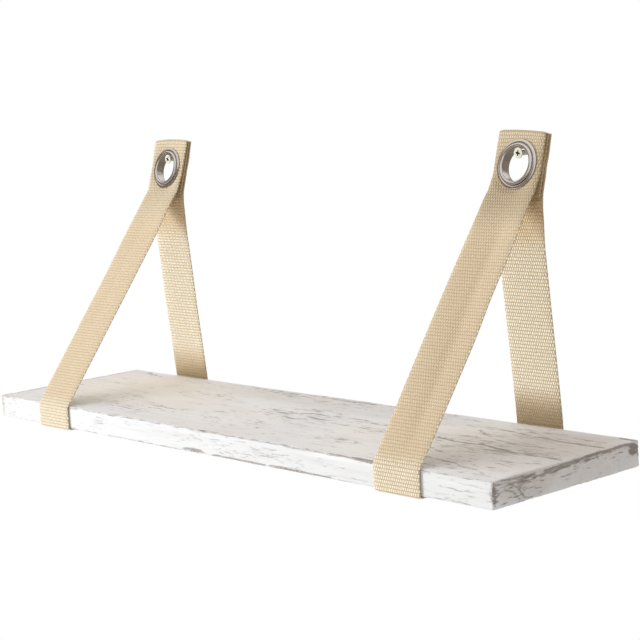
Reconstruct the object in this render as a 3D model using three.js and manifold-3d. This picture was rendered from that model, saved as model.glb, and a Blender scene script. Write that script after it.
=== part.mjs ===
// Hanging shelf: a wooden board carried by two loops of flat webbing, each on an eyelet and a screw.
// Millimetres. X runs along the board, Y towards the wall and Z up. The wall's face is the plane
// Y = 0, and the origin lies on it midway between the axes of the two screws.

import * as THREE from "three";
import { mergeVertices } from "three/addons/utils/BufferGeometryUtils.js";
import Module from "manifold-3d";

const wasm = await Module();
wasm.setup();

// Board
const boardLength = 600;
const boardDepth = 150;
const boardThickness = 19;
const boardEdgeRadius = 1.2;
const boardEndEase = 0.8;

// Webbing of the two straps
const webbingWidth = 45;
const webbingThickness = 1.7;
const layerGap = 0.3;
const boardClearance = 0.3;
const wallClearance = 0.3;

// Hanging: how far from the board's ends the screws are, and how far above the board's top
const screwInset = 90;
const screwSpacing = boardLength - 2 * screwInset;
const hangDrop = 201.1;
const headLean = THREE.MathUtils.degToRad(16);

// The photographed shelf hangs a little to the left of its screws, and neither strap is laid quite
// square round the board. A slip is how far a strap has moved along the board at its foot. Each
// screw's cross recess has stopped at its own turn.
const boardSlip = -2;
const straps = [
  { name: "left", side: -1, frontSlip: -4.1, backSlip: -5.6, recessTurn: 28 },
  { name: "right", side: 1, frontSlip: 1.2, backSlip: -4, recessTurn: 12 },
];

// Strap head: three layers held by the eyelet. Heights are measured from the eyelet's centre.
const headAbove = 25.6;
const rearEndDrop = 0.3;
const tailBelow = 23;
const frontBendRadius = 10;
const backBendRadius = 40;
const layers = 3;

// Eyelet: a flange behind the webbing, a barrel through it, and a rim rolled over the washer
const boreRadius = 12.5;
const eyeletWall = 0.8;
const flangeRadius = 18.25;
const rimRadius = 1.45;
const metalGap = 0.3;
const eyeletStandOff = 7.4;
const flangeEdgeRadius = 0.35;
const boreEdgeRadius = 1.6;

// Washer: the domed ring under the rolled rim
const washerRadius = 18.25;
const washerEdge = 0.35;
const washerThickness = 0.75;
const washerDome = 0.4;

// Countersunk wall screw with a cross recess
const screwLength = 25;
const screwProud = 15.6;
const shankRadius = 2;
const headRadius = 4;
const headRim = 0.5;
const headCrown = 0.4;
const threadLength = 14;
const threadPitch = 1.8;
const threadDepth = 0.55;
const tipLength = 4;
const recessSpan = 4.6;
const recessWidth = 1;
const recessDepth = 1.7;
const recessFootShare = 0.3;
const cutOverrun = 0.2;

// Fineness of the round stretches
const arcStep = THREE.MathUtils.degToRad(15);
const roundSides = 40;
const screwSides = 12;
const threadSteps = 5;
const cornerSteps = 3;
const rimSteps = 7;

const wood = new THREE.MeshStandardMaterial({ color: 0xe4dcd2, roughness: 0.85, metalness: 0 });
const webbing = new THREE.MeshStandardMaterial({ color: 0xdcc8a0, roughness: 0.95, metalness: 0 });
const nickel = new THREE.MeshStandardMaterial({ color: 0xb9b4b0, roughness: 0.25, metalness: 1 });
const zinc = new THREE.MeshStandardMaterial({ color: 0xd8d6d0, roughness: 0.35, metalness: 1 });

const axisX = new THREE.Vector3(1, 0, 0);
const axisY = new THREE.Vector3(0, 1, 0);
const axisZ = new THREE.Vector3(0, 0, 1);
const quarterTurn = Math.PI / 2;

// A flat outline drawn in (Y, Z) and pushed out along X
const outlineToPart = new THREE.Matrix4().makeBasis(axisY, axisZ, axisX);

// Heights below are in the part's frame
const boardTop = -hangDrop;
const boardBottom = boardTop - boardThickness;
const boardBack = -wallClearance - webbingThickness - boardClearance;
const boardFront = boardBack - boardDepth;
const layerPitch = webbingThickness + layerGap;
const headThickness = layers * webbingThickness + (layers - 1) * layerGap;

// The head leans back as it rises. (Y, Z) of the head's own up direction, and of its inward normal,
// which points at the wall.
const headUp = new THREE.Vector2(Math.sin(headLean), Math.cos(headLean));
const headIn = new THREE.Vector2(Math.cos(headLean), -Math.sin(headLean));

// Depths along the inward normal, from the front face of the head
const flangeFront = headThickness + metalGap;
const flangeBack = flangeFront + eyeletWall;

// The eyelet hangs by the top of its back edge on the screw's shank, which is the pivot line
const pivot = new THREE.Vector2(-eyeletStandOff, shankRadius + metalGap);
const eyeletCentre = pivot
  .clone()
  .addScaledVector(headUp, -boreRadius)
  .addScaledVector(headIn, -flangeBack);

// Point of the head at a height above the eyelet's centre and a depth behind the front face
function headPoint(height, depth) {
  return eyeletCentre.clone().addScaledVector(headUp, height).addScaledVector(headIn, depth);
}

// A geometry's triangles as a solid for cutting and joining
function toSolid(geometry) {
  const bare = geometry.clone();
  bare.deleteAttribute("normal");
  bare.deleteAttribute("uv");
  const merged = mergeVertices(bare);
  return new wasm.Manifold(
    new wasm.Mesh({
      numProp: 3,
      vertProperties: new Float32Array(merged.attributes.position.array),
      triVerts: new Uint32Array(merged.index.array),
    }),
  );
}

// A solid's triangles as a geometry
function toGeometry(solid) {
  const { vertProperties, triVerts } = solid.getMesh();
  const geometry = new THREE.BufferGeometry();
  geometry.setAttribute("position", new THREE.BufferAttribute(vertProperties, 3));
  geometry.setIndex(new THREE.BufferAttribute(triVerts, 1));
  geometry.computeVertexNormals();
  return geometry;
}

// Where a straight run leaves bend a and meets bend b. A bend is a circle with a centre, a radius
// and a turn: 1 to the left, -1 to the right. An end of the path is a bend of radius 0.
function straightRun(a, b) {
  const across = b.centre.clone().sub(a.centre);
  const rise = b.turn * b.radius - a.turn * a.radius;
  const heading = across.angle() - Math.asin(rise / across.length());
  const left = new THREE.Vector2(-Math.sin(heading), Math.cos(heading));
  return {
    heading,
    from: a.centre.clone().addScaledVector(left, -a.turn * a.radius),
    to: b.centre.clone().addScaledVector(left, -b.turn * b.radius),
  };
}

// Points and headings along a path that is pulled tight round its bends
function tightPath(bends) {
  const runs = bends.slice(1).map((bend, i) => straightRun(bends[i], bend));
  const path = [{ at: runs[0].from, heading: runs[0].heading }];
  for (let i = 1; i < bends.length - 1; i++) {
    const { centre, radius, turn } = bends[i];
    const start = runs[i - 1].heading;
    const fullTurn = 2 * Math.PI;
    const swing = ((((runs[i].heading - start) * turn) % fullTurn) + fullTurn) % fullTurn;
    const steps = Math.max(2, Math.ceil(swing / arcStep));
    for (let k = 0; k <= steps; k++) {
      const heading = start + (turn * swing * k) / steps;
      const left = new THREE.Vector2(-Math.sin(heading), Math.cos(heading));
      path.push({ at: centre.clone().addScaledVector(left, -turn * radius), heading });
    }
  }
  const last = runs[runs.length - 1];
  path.push({ at: last.to, heading: last.heading });
  return path;
}

// Middle line of a strap, from the end at the back of the head, round the board and back up, over
// the top of the head and down between the two other layers
function strapPath() {
  const middle = webbingThickness / 2;
  const foldRadius = layerPitch / 2;
  const foldHeight = headAbove - middle - foldRadius;
  const bendHeight = -flangeRadius;
  const backDepth = (layers - 1) * layerPitch + middle;
  const cornerRadius = boardEdgeRadius + boardClearance + middle;
  const corner = (y, z) => ({ centre: new THREE.Vector2(y, z), radius: cornerRadius, turn: -1 });
  const end = (centre) => ({ centre, radius: 0, turn: 0 });
  const inner = boardEdgeRadius;
  return tightPath([
    end(headPoint(headAbove - rearEndDrop, backDepth)),
    { centre: headPoint(bendHeight, backDepth + backBendRadius), radius: backBendRadius, turn: 1 },
    corner(boardBack - inner, boardTop - inner),
    corner(boardBack - inner, boardBottom + inner),
    corner(boardFront + inner, boardBottom + inner),
    corner(boardFront + inner, boardTop - inner),
    { centre: headPoint(bendHeight, middle - frontBendRadius), radius: frontBendRadius, turn: 1 },
    { centre: headPoint(foldHeight, middle + foldRadius), radius: foldRadius, turn: -1 },
    end(headPoint(-tailBelow, middle + layerPitch)),
  ]);
}

// One strap in a single length of webbing. Its foot has slipped along the board, which shears it.
function strapGeometry({ frontSlip, backSlip }) {
  const path = strapPath();
  const offset = ({ at, heading }, side) =>
    at.clone().add(new THREE.Vector2(-Math.sin(heading), Math.cos(heading)).multiplyScalar(side));
  const half = webbingThickness / 2;
  const outer = path.map((p) => offset(p, half));
  const inner = path.map((p) => offset(p, -half)).reverse();
  const band = new THREE.ExtrudeGeometry(new THREE.Shape([...outer, ...inner]), {
    depth: webbingWidth,
    bevelEnabled: false,
    curveSegments: 1,
  });
  band.translate(0, 0, -webbingWidth / 2);
  band.applyMatrix4(outlineToPart);
  shearAlongBoard(band, frontSlip, backSlip);

  const hole = new THREE.CylinderGeometry(
    boreRadius + eyeletWall + metalGap,
    boreRadius + eyeletWall + metalGap,
    headThickness + webbingThickness,
    roundSides,
  );
  hole.translate(0, headThickness / 2, 0);
  hole.applyMatrix4(eyeletFrame());
  return toGeometry(toSolid(band).subtract(toSolid(hole)));
}

// Moves points along X in proportion to their place, so that the head's centre stays, the foot's
// front moves by one slip and its back by the other
function shearAlongBoard(geometry, frontSlip, backSlip) {
  const rise = boardTop - eyeletCentre.y;
  const toFront = boardFront - eyeletCentre.x;
  const toBack = boardBack - eyeletCentre.x;
  const perY = (frontSlip - backSlip) / (toFront - toBack);
  const perZ = (backSlip - perY * toBack) / rise;
  const shear = new THREE.Matrix4().set(
    1, perY, perZ, -perY * eyeletCentre.x - perZ * eyeletCentre.y,
    0, 1, 0, 0,
    0, 0, 1, 0,
    0, 0, 0, 1,
  );
  geometry.applyMatrix4(shear);
}

// Turns a shape whose axis is +Y, with Y = 0 at the head's front face, into the head's place
function eyeletFrame() {
  const inward = new THREE.Vector3(0, headIn.x, headIn.y);
  const upward = new THREE.Vector3(0, headUp.x, headUp.y);
  const frame = new THREE.Matrix4().makeBasis(inward.clone().cross(upward), inward, upward);
  return frame.setPosition(0, eyeletCentre.x, eyeletCentre.y);
}

// Points of an arc in a profile of (radius, depth)
function arcPoints(radius, depth, size, from, to, steps) {
  return Array.from({ length: steps + 1 }, (_, i) => {
    const angle = from + ((to - from) * i) / steps;
    return new THREE.Vector2(radius + size * Math.cos(angle), depth + size * Math.sin(angle));
  });
}

// A closed profile of (radius, depth) turned about the axis
function turned(profile, sides) {
  const ring = new THREE.LatheGeometry([...profile, profile[0].clone()], sides);
  return toGeometry(toSolid(ring));
}

// Depth, behind the head's front face, of the top of the washer under the rolled rim
const washerTop = -metalGap - washerThickness;
const rimDepth = washerTop - metalGap;

// Eyelet: flange, barrel and rolled rim in one piece of sheet
function eyeletGeometry() {
  const rimCentre = boreRadius + rimRadius;
  const profile = [
    ...arcPoints(rimCentre, rimDepth, rimRadius, Math.PI, 2 * Math.PI, rimSteps),
    ...arcPoints(rimCentre, rimDepth, rimRadius - eyeletWall, 2 * Math.PI, Math.PI, rimSteps),
    new THREE.Vector2(boreRadius + eyeletWall, flangeFront),
    new THREE.Vector2(flangeRadius - flangeEdgeRadius, flangeFront),
    ...arcPoints(
      flangeRadius - flangeEdgeRadius,
      flangeBack - flangeEdgeRadius,
      flangeEdgeRadius,
      0,
      quarterTurn,
      cornerSteps,
    ),
    ...arcPoints(
      boreRadius + boreEdgeRadius,
      flangeBack - boreEdgeRadius,
      boreEdgeRadius,
      quarterTurn,
      Math.PI,
      cornerSteps,
    ),
  ];
  return turned(profile, roundSides);
}

// Washer: flat below, domed above from under the rim to its outer edge
function washerGeometry() {
  const innerRadius = boreRadius + eyeletWall + metalGap;
  const domeFrom = boreRadius + 2 * rimRadius;
  const domeTop = (domeFrom + washerRadius) / 2;
  const top = washerTop;
  const profile = [
    new THREE.Vector2(innerRadius, -metalGap),
    new THREE.Vector2(innerRadius, top),
    new THREE.Vector2(domeFrom, top),
    new THREE.Vector2((domeFrom + domeTop) / 2, top - washerDome / 2),
    new THREE.Vector2(domeTop, top - washerDome),
    new THREE.Vector2((washerRadius + domeTop) / 2, top - washerDome / 2),
    new THREE.Vector2(washerRadius - washerEdge, top + washerEdge / 2),
    new THREE.Vector2(washerRadius, -metalGap - washerEdge),
    new THREE.Vector2(washerRadius - washerEdge, -metalGap),
  ];
  return turned(profile, roundSides);
}

// How far the thread's ridge stands out, as a share of its depth, at a place within one pitch
function ridgeShare(place) {
  const wrapped = place - Math.floor(place);
  return Math.max(0, 1 - Math.abs(wrapped * 2 - 1) * 2);
}

// Screw along +Y from its head, at Y = 0, to its tip
function screwGeometry({ recessTurn }) {
  const coneEnd = headRim + headRadius - shankRadius;
  const threadStart = screwLength - threadLength;
  const coreRadius = shankRadius - threadDepth / 2;
  const profile = [
    new THREE.Vector2(0, -headCrown),
    new THREE.Vector2(headRadius * Math.cos(quarterTurn / 2), -headCrown / 2),
    new THREE.Vector2(headRadius, 0),
    new THREE.Vector2(headRadius, headRim),
    new THREE.Vector2(shankRadius, coneEnd),
    new THREE.Vector2(shankRadius, threadStart - threadPitch),
  ];
  const rows = Math.round((threadLength / threadPitch) * threadSteps);
  for (let i = 0; i < rows; i++) {
    const along = threadStart + (threadLength * i) / rows;
    const taper = Math.min(1, (screwLength - along) / tipLength);
    profile.push(new THREE.Vector2(coreRadius * taper, along));
  }
  profile.push(new THREE.Vector2(0, screwLength));

  const body = new THREE.LatheGeometry(profile, screwSides);
  const places = body.attributes.position;
  const point = new THREE.Vector3();
  for (let i = 0; i < places.count; i++) {
    point.fromBufferAttribute(places, i);
    const radius = Math.hypot(point.x, point.z);
    if (radius === 0 || point.y < threadStart) continue;
    const phase = point.y / threadPitch - Math.atan2(point.z, point.x) / (2 * Math.PI);
    const taper = Math.min(1, (screwLength - point.y) / tipLength);
    const stretch = 1 + (threadDepth * ridgeShare(phase) * taper) / radius;
    places.setXYZ(i, point.x * stretch, point.y, point.z * stretch);
  }

  let screw = toSolid(body);
  for (const across of [0, quarterTurn]) {
    const blade = new THREE.CylinderGeometry(
      (recessSpan * recessFootShare) / Math.SQRT2,
      recessSpan / Math.SQRT2,
      recessDepth + headCrown + cutOverrun,
      4,
    );
    blade.rotateY(quarterTurn / 2);
    blade.scale(1, 1, recessWidth / recessSpan);
    blade.translate(0, (recessDepth - headCrown - cutOverrun) / 2, 0);
    blade.rotateY(across + THREE.MathUtils.degToRad(recessTurn));
    screw = screw.subtract(toSolid(blade));
  }
  return toGeometry(screw);
}

// Board with its corners and ends eased
function boardGeometry() {
  const depth = boardDepth / 2 - boardEdgeRadius;
  const height = boardThickness / 2 - boardEdgeRadius;
  const corners = [
    [depth, height],
    [-depth, height],
    [-depth, -height],
    [depth, -height],
  ];
  const outline = corners.flatMap(([y, z], i) =>
    arcPoints(y, z, boardEdgeRadius, i * quarterTurn, (i + 1) * quarterTurn, cornerSteps),
  );
  const plank = new THREE.ExtrudeGeometry(new THREE.Shape(outline), {
    depth: boardLength - 2 * boardEndEase,
    bevelThickness: boardEndEase,
    bevelSize: boardEndEase,
    bevelOffset: -boardEndEase,
    bevelSegments: cornerSteps,
    curveSegments: 1,
  });
  plank.translate(0, 0, boardEndEase - boardLength / 2);
  return plank.applyMatrix4(outlineToPart);
}

function piece(name, geometry, material) {
  const mesh = new THREE.Mesh(geometry, material);
  mesh.name = name;
  return mesh;
}

const shelf = new THREE.Group();

const board = piece("board", boardGeometry(), wood);
board.position.set(boardSlip, boardFront + boardDepth / 2, boardTop - boardThickness / 2);
shelf.add(board);

for (const strap of straps) {
  const hanger = new THREE.Group();
  hanger.position.x = (strap.side * screwSpacing) / 2;
  hanger.add(piece(`${strap.name}_strap`, strapGeometry(strap), webbing));

  const eyelet = new THREE.Group();
  eyelet.applyMatrix4(eyeletFrame());
  eyelet.add(piece(`${strap.name}_eyelet`, eyeletGeometry(), nickel));
  eyelet.add(piece(`${strap.name}_eyelet_washer`, washerGeometry(), nickel));
  hanger.add(eyelet);

  const screw = piece(`${strap.name}_wall_screw`, screwGeometry(strap), zinc);
  screw.position.y = -screwProud;
  hanger.add(screw);
  shelf.add(hanger);
}

export default shelf;
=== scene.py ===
"""Hanging shelf: a whitewashed board in two loops of flat webbing, hung by eyelets on wall screws.

Metres. X runs along the board, Y towards the wall and Z up. The wall's face is the plane Y = 0.
"""

import math

import bmesh
import bpy
import numpy as np
from mathutils import Matrix, Vector


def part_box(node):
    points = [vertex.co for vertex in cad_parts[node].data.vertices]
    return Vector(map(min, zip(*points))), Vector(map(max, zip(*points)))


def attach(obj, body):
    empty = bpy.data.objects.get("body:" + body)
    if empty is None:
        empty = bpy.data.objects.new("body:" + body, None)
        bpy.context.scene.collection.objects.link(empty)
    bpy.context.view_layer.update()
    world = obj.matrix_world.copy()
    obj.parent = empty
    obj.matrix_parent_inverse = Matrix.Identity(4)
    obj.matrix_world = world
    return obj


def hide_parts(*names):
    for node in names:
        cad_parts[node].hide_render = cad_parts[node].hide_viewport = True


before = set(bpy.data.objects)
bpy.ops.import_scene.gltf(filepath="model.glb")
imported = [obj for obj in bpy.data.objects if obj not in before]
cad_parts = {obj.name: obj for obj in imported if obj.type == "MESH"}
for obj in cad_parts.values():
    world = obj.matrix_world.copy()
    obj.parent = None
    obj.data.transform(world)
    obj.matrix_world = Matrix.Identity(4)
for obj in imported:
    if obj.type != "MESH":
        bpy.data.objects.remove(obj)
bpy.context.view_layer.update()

MM = 0.001
X_AXIS = np.array((1.0, 0.0, 0.0))

# Places of the board, from the frame
BOARD_LOW, BOARD_HIGH = (np.array(corner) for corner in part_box("board"))
BOARD_MIDDLE = (BOARD_LOW + BOARD_HIGH) / 2
BOARD_FRONT, BOARD_BACK = BOARD_LOW[1], BOARD_HIGH[1]
BOARD_BOTTOM, BOARD_TOP = BOARD_LOW[2], BOARD_HIGH[2]

# Webbing of the two straps
WEBBING_WIDTH = 45 * MM
WEBBING_THICKNESS = 1.7 * MM
LAYER_GAP = 0.3 * MM
BOARD_CLEARANCE = 0.3 * MM
BOARD_EDGE_RADIUS = 1.2 * MM
HEAD_LEAN = math.radians(16)
HEAD_ABOVE = 25.6 * MM
REAR_END_DROP = 0.3 * MM
TAIL_BELOW = 23 * MM
FRONT_BEND_RADIUS = 10 * MM
BACK_BEND_RADIUS = 40 * MM
LAYERS = 3

# Weave: rows of floats across the webbing, every other row set over by half a float
ROW_PITCH = 2.62 * MM
FLOAT_PITCH = 2.12 * MM
ROW_STEPS = 5
ROW_RELIEF = 0.07 * MM
ROW_ROUNDNESS = 0.6
FACE_COLUMNS = 21
SELVEDGE_RADIUS = 0.45 * MM
SELVEDGE_STEPS = 4
SELVEDGE_BAND = 3.2 * MM
SELVEDGE_COLUMNS = 4
SELVEDGE_THINNING = 0.45
SELVEDGE_RELIEF = 0.18 * MM
# A painted highlight along the selvedges: within this band their floats take the paler yarn
SELVEDGE_HIGHLIGHT_BAND = 1.4 * MM
SELVEDGE_HIGHLIGHT = 0.8

# The layers of the head puff up where the ring no longer holds them, and less so at the top
PUFF_TOP_FROM = 6 * MM
PUFF_HELD = 18.2 * MM
PUFF_FREE = 23.5 * MM
PUFF_FROM = -22 * MM
PUFF_TO = -60 * MM
TOP_FROM = 12 * MM

# Painted shade on the webbing: between the layers of the head, and a painted shadow of the board
# on the back legs just above its back edge. Warm painted shade where the two legs meet and in that
# shadow, and painted shade on the front of the head.
SHADE_DEPTH = 1.7 * MM
SHADE_FROM = -28 * MM
SHADE_TO = -70 * MM
SHADE_SHARE = 0.6
SHADE_RIM = 1.2 * MM
SHADE_RIM_FROM_SHARE = 0.3
SHADE_RIM_TO_SHARE = 1.3
# Painted shadow of the board on the back legs, between these heights over the board's top
BOARD_SHADOW_FROM = 6 * MM
BOARD_SHADOW_TO = 34 * MM
BOARD_SHADOW_SHARE = 0.85
# Warm painted shade where the two legs meet, fading out between these heights
WARM_SHADE_FROM = -44 * MM
WARM_SHADE_TO = -62 * MM
# Painted shade on the front of the head: where it fades out, and how much weaker it is at the top
FACE_FROM = -26 * MM
FACE_TO = -56 * MM
FACE_TOP_SHARE = 0.5
FACE_RAISED = 0.5
# Round the board the floats stand out and the yarn is paler, which is painted light, up to this height
RAISED_ABOVE = 9 * MM
FOOT_RAISED = 0.75

# Wall screw
SCREW_SPACING = 420 * MM
SCREW_LENGTH = 25 * MM
SCREW_PROUD = 15.6 * MM
SHANK_RADIUS = 2 * MM
HEAD_RADIUS = 4 * MM
HEAD_RIM = 0.5 * MM
HEAD_CROWN = 0.4 * MM
THREAD_LENGTH = 14 * MM
THREAD_PITCH = 1.8 * MM
THREAD_DEPTH = 0.55 * MM
TIP_LENGTH = 4 * MM
RECESS_SPAN = 4.6 * MM
RECESS_WIDTH = 1.35 * MM
RECESS_DEPTH = 1.7 * MM
RECESS_FOOT_SHARE = 0.3
# How far the painted shade of the cross recess reaches past it
RECESS_SHADE_SPREAD = 0.1 * MM
RECESS_TURNS = {"left": math.radians(28), "right": math.radians(12)}

# How each strap is laid. It slips along the board in front and behind, its layers puff up by an
# amount, of which a share reaches the top, and the top edge has a middle, a tilt and an arch. Its face
# shade share is how much painted shade the front of its head gets. A crease has a place, as a share of
# half the width, and a depth. A curl moves one edge of a leg forward, or the whole leg where its side
# is 0: the leg, the side, how far, and the heights over the eyelet's centre between which it comes in
# and goes out again, all in millimetres.
STRAPS = {
    "left": {
        "x": -SCREW_SPACING / 2,
        "slips": (-4.1 * MM, -5.6 * MM),
        "puff": (1.5 * MM, 0.3),
        "top": (1.0 * MM, 0.0, 1.3 * MM),
        "face_shade_share": 0.38,
        "crease": (-0.1, 0.2 * MM),
        "curls": [
            ("front", -1, 1.0, 60, 40, -60, -100),
            ("front", -1, 0.9, 60, 40, 20, 5),
            ("front", 1, 1.6, -4, -21, -30, -75),
            ("back", -1, 1.2, -30, -80, -180, -200),
            ("back", 0, -0.8, -15, -35, -70, -130),
        ],
    },
    "right": {
        "x": SCREW_SPACING / 2,
        "slips": (1.2 * MM, -4 * MM),
        "puff": (3 * MM, 0.85),
        "top": (-0.1 * MM, -1.3 * MM, 0.8 * MM),
        "face_shade_share": 0.72,
        "crease": (0.2, 0.55 * MM),
        "curls": [
            ("front", -1, 3.5, -4, -25, -80, -260),
            ("front", 1, 3.0, -4, -21, -25, -75),
            ("front", 1, 1.2, -30, -70, -95, -125),
            ("front", 1, -0.8, -110, -140, -200, -230),
            ("back", 0, -1.1, -15, -45, -165, -200),
        ],
    },
}
CURL_FROM_SHARE = -0.6

# The lengthwise crease of the front leg, between these heights over the eyelet's centre
CREASE_WIDTH = 4 * MM
CREASE_HEIGHTS = (-30 * MM, -60 * MM, -190 * MM, -214 * MM)

# Eyelet and its washer, with depths measured behind the head's front face
BORE_RADIUS = 12.5 * MM
EYELET_WALL = 0.8 * MM
FLANGE_RADIUS = 18.25 * MM
FLANGE_EDGE_RADIUS = 0.35 * MM
BORE_EDGE_RADIUS = 1.6 * MM
RIM_RADIUS = 1.45 * MM
METAL_GAP = 0.3 * MM
EYELET_STAND_OFF = 7.4 * MM
WASHER_RADIUS = 18.25 * MM
WASHER_EDGE = 0.35 * MM
WASHER_THICKNESS = 0.75 * MM
WASHER_DOME = 0.4 * MM

# Fineness of the meshes
ARC_STEP = math.radians(3)
RING_SIDES = 144
RIM_STEPS = 20
CORNER_STEPS = 6
SCREW_SIDES = 48
THREAD_STEPS = 12
SHARP_ANGLE = math.radians(40)

LAYER_PITCH = WEBBING_THICKNESS + LAYER_GAP
HEAD_THICKNESS = LAYERS * WEBBING_THICKNESS + (LAYERS - 1) * LAYER_GAP

# The head leans back as it rises. (Y, Z) of its own up direction, and of its inward normal.
HEAD_UP = np.array((math.sin(HEAD_LEAN), math.cos(HEAD_LEAN)))
HEAD_IN = np.array((math.cos(HEAD_LEAN), -math.sin(HEAD_LEAN)))
FLANGE_FRONT = HEAD_THICKNESS + METAL_GAP
FLANGE_BACK = FLANGE_FRONT + EYELET_WALL
WASHER_TOP = -METAL_GAP - WASHER_THICKNESS
RIM_DEPTH = WASHER_TOP - METAL_GAP
HOLE_RADIUS = BORE_RADIUS + EYELET_WALL + METAL_GAP
PIVOT = np.array((-EYELET_STAND_OFF, SHANK_RADIUS + METAL_GAP))
EYELET_CENTRE = PIVOT - HEAD_UP * BORE_RADIUS - HEAD_IN * FLANGE_BACK


# Small helpers for meshes


def smoothstep(low, high, value):
    share = np.clip((value - low) / (high - low), 0, 1)
    return share * share * (3 - 2 * share)


def add_object(name, data):
    added = bpy.data.objects.new(name, data)
    bpy.context.scene.collection.objects.link(added)
    return added


def add_mesh(name, points, faces):
    mesh = bpy.data.meshes.new(name)
    mesh.from_pydata([tuple(p) for p in points], [], [tuple(f) for f in faces])
    return add_object(name, mesh)


def finish_normals(mesh):
    shape = bmesh.new()
    shape.from_mesh(mesh)
    bmesh.ops.recalc_face_normals(shape, faces=shape.faces)
    shape.to_mesh(mesh)
    shape.free()
    mesh.polygons.foreach_set("use_smooth", [True] * len(mesh.polygons))
    mesh.set_sharp_from_angle(angle=SHARP_ANGLE)


def add_solid(name, points, faces):
    """A smooth closed mesh whose faces look outward."""
    added = add_mesh(name, points, faces)
    finish_normals(added.data)
    return added


def new_piece(name, points, faces, material, body, node):
    """A solid that rides on a body and stands for a node."""
    piece = add_solid(name, points, faces)
    piece.data.materials.append(material)
    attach(piece, body)
    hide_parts(node)
    return piece


def cut(piece, cutters):
    """Takes the cutters' solids out of a piece, and the cutters out of the scene."""
    for cutter in cutters:
        modifier = piece.modifiers.new("cut", "BOOLEAN")
        modifier.operation = "DIFFERENCE"
        modifier.solver = "EXACT"
        modifier.object = cutter
    bpy.context.view_layer.update()
    seen = piece.evaluated_get(bpy.context.evaluated_depsgraph_get())
    carved = bpy.data.meshes.new_from_object(seen)
    piece.modifiers.clear()
    piece.data = carved
    finish_normals(carved)
    for cutter in cutters:
        bpy.data.objects.remove(cutter)


def ring_faces(rings, sides, closed=False):
    """Quads between neighbouring rings of points. Where it is closed, the last ring meets the first."""
    ring, side = np.meshgrid(np.arange(rings - (not closed)), np.arange(sides), indexing="ij")
    ring, side = ring.ravel(), side.ravel()
    next_ring, next_side = (ring + 1) % rings, (side + 1) % sides
    corners = (
        ring * sides + side,
        next_ring * sides + side,
        next_ring * sides + next_side,
        ring * sides + next_side,
    )
    return np.stack(corners, axis=1).tolist()


# Webbing


def head_point(height, depth):
    """(Y, Z) at a height above the eyelet's centre and a depth behind the head's front face."""
    return EYELET_CENTRE + HEAD_UP * height + HEAD_IN * depth


def head_place(profile):
    """Heights above the eyelet's centre and depths behind the head's front face, of places (Y, Z)."""
    offset = profile - EYELET_CENTRE
    return offset @ HEAD_UP, offset @ HEAD_IN


def window(height, top, upper, lower, bottom):
    """1 at heights between upper and lower, fading to 0 at top and at bottom."""
    return smoothstep(top, upper, height) * smoothstep(bottom, lower, height)


def straight_run(a, b):
    """Heading and the two ends of the run from bend a to bend b. A bend is (centre, radius, turn)."""
    across = b[0] - a[0]
    rise = b[2] * b[1] - a[2] * a[1]
    heading = math.atan2(across[1], across[0]) - math.asin(rise / math.hypot(*across))
    left = np.array((-math.sin(heading), math.cos(heading)))
    return heading, a[0] - left * a[2] * a[1], b[0] - left * b[2] * b[1]


def tight_path(bends):
    """Points and running headings along a path that is pulled tight round its bends."""
    runs = [straight_run(a, b) for a, b in zip(bends, bends[1:])]
    heading = runs[0][0]
    points, headings = [runs[0][1]], [heading]
    for (centre, radius, turn), run in zip(bends[1:-1], runs[1:]):
        swing = ((run[0] - heading) * turn) % (2 * math.pi)
        steps = max(2, math.ceil(swing / ARC_STEP))
        for k in range(steps + 1):
            there = heading + turn * swing * k / steps
            left = np.array((-math.sin(there), math.cos(there)))
            points.append(centre - left * turn * radius)
            headings.append(there)
        heading += turn * swing
    points.append(runs[-1][2])
    headings.append(heading)
    return np.array(points), np.array(headings)


def strap_path():
    """Middle line of a strap, from its end at the back of the head round the board to its tail."""
    middle = WEBBING_THICKNESS / 2
    fold_radius = LAYER_PITCH / 2
    fold_height = HEAD_ABOVE - middle - fold_radius
    back_depth = (LAYERS - 1) * LAYER_PITCH + middle
    corner_radius = BOARD_EDGE_RADIUS + BOARD_CLEARANCE + middle
    front, back = BOARD_FRONT + BOARD_EDGE_RADIUS, BOARD_BACK - BOARD_EDGE_RADIUS
    bottom, top = BOARD_BOTTOM + BOARD_EDGE_RADIUS, BOARD_TOP - BOARD_EDGE_RADIUS

    def corner(y, z):
        return np.array((y, z)), corner_radius, -1

    return tight_path([
        (head_point(HEAD_ABOVE - REAR_END_DROP, back_depth), 0, 0),
        (head_point(-FLANGE_RADIUS, back_depth + BACK_BEND_RADIUS), BACK_BEND_RADIUS, 1),
        corner(back, top),
        corner(back, bottom),
        corner(front, bottom),
        corner(front, top),
        (head_point(-FLANGE_RADIUS, middle - FRONT_BEND_RADIUS), FRONT_BEND_RADIUS, 1),
        (head_point(fold_height, middle + fold_radius), fold_radius, -1),
        (head_point(-TAIL_BELOW, middle + LAYER_PITCH), 0, 0),
    ])


def webbing_section():
    """Places (across, out) round the webbing's section, starting at one edge of its outer face."""
    half_width, half = WEBBING_WIDTH / 2, WEBBING_THICKNESS / 2
    flat = half_width - SELVEDGE_RADIUS
    near = np.arange(SELVEDGE_COLUMNS) / SELVEDGE_COLUMNS * SELVEDGE_BAND
    inner = np.linspace(SELVEDGE_BAND - flat, flat - SELVEDGE_BAND, FACE_COLUMNS - 2 * SELVEDGE_COLUMNS)
    across = np.concatenate([near - flat, inner, (flat - near)[::-1]])
    thinned = 1 - SELVEDGE_THINNING * smoothstep(flat - SELVEDGE_BAND, half_width, np.abs(across))
    turns = np.linspace(math.pi / 2, -math.pi / 2, SELVEDGE_STEPS + 2)[1:-1]
    end = half * thinned[0]
    edge = np.stack([flat + SELVEDGE_RADIUS * np.cos(turns), end * np.sin(turns)], axis=1)
    outer = np.stack([across, half * thinned], axis=1)
    return np.concatenate([outer, edge, -outer, -edge])


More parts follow.
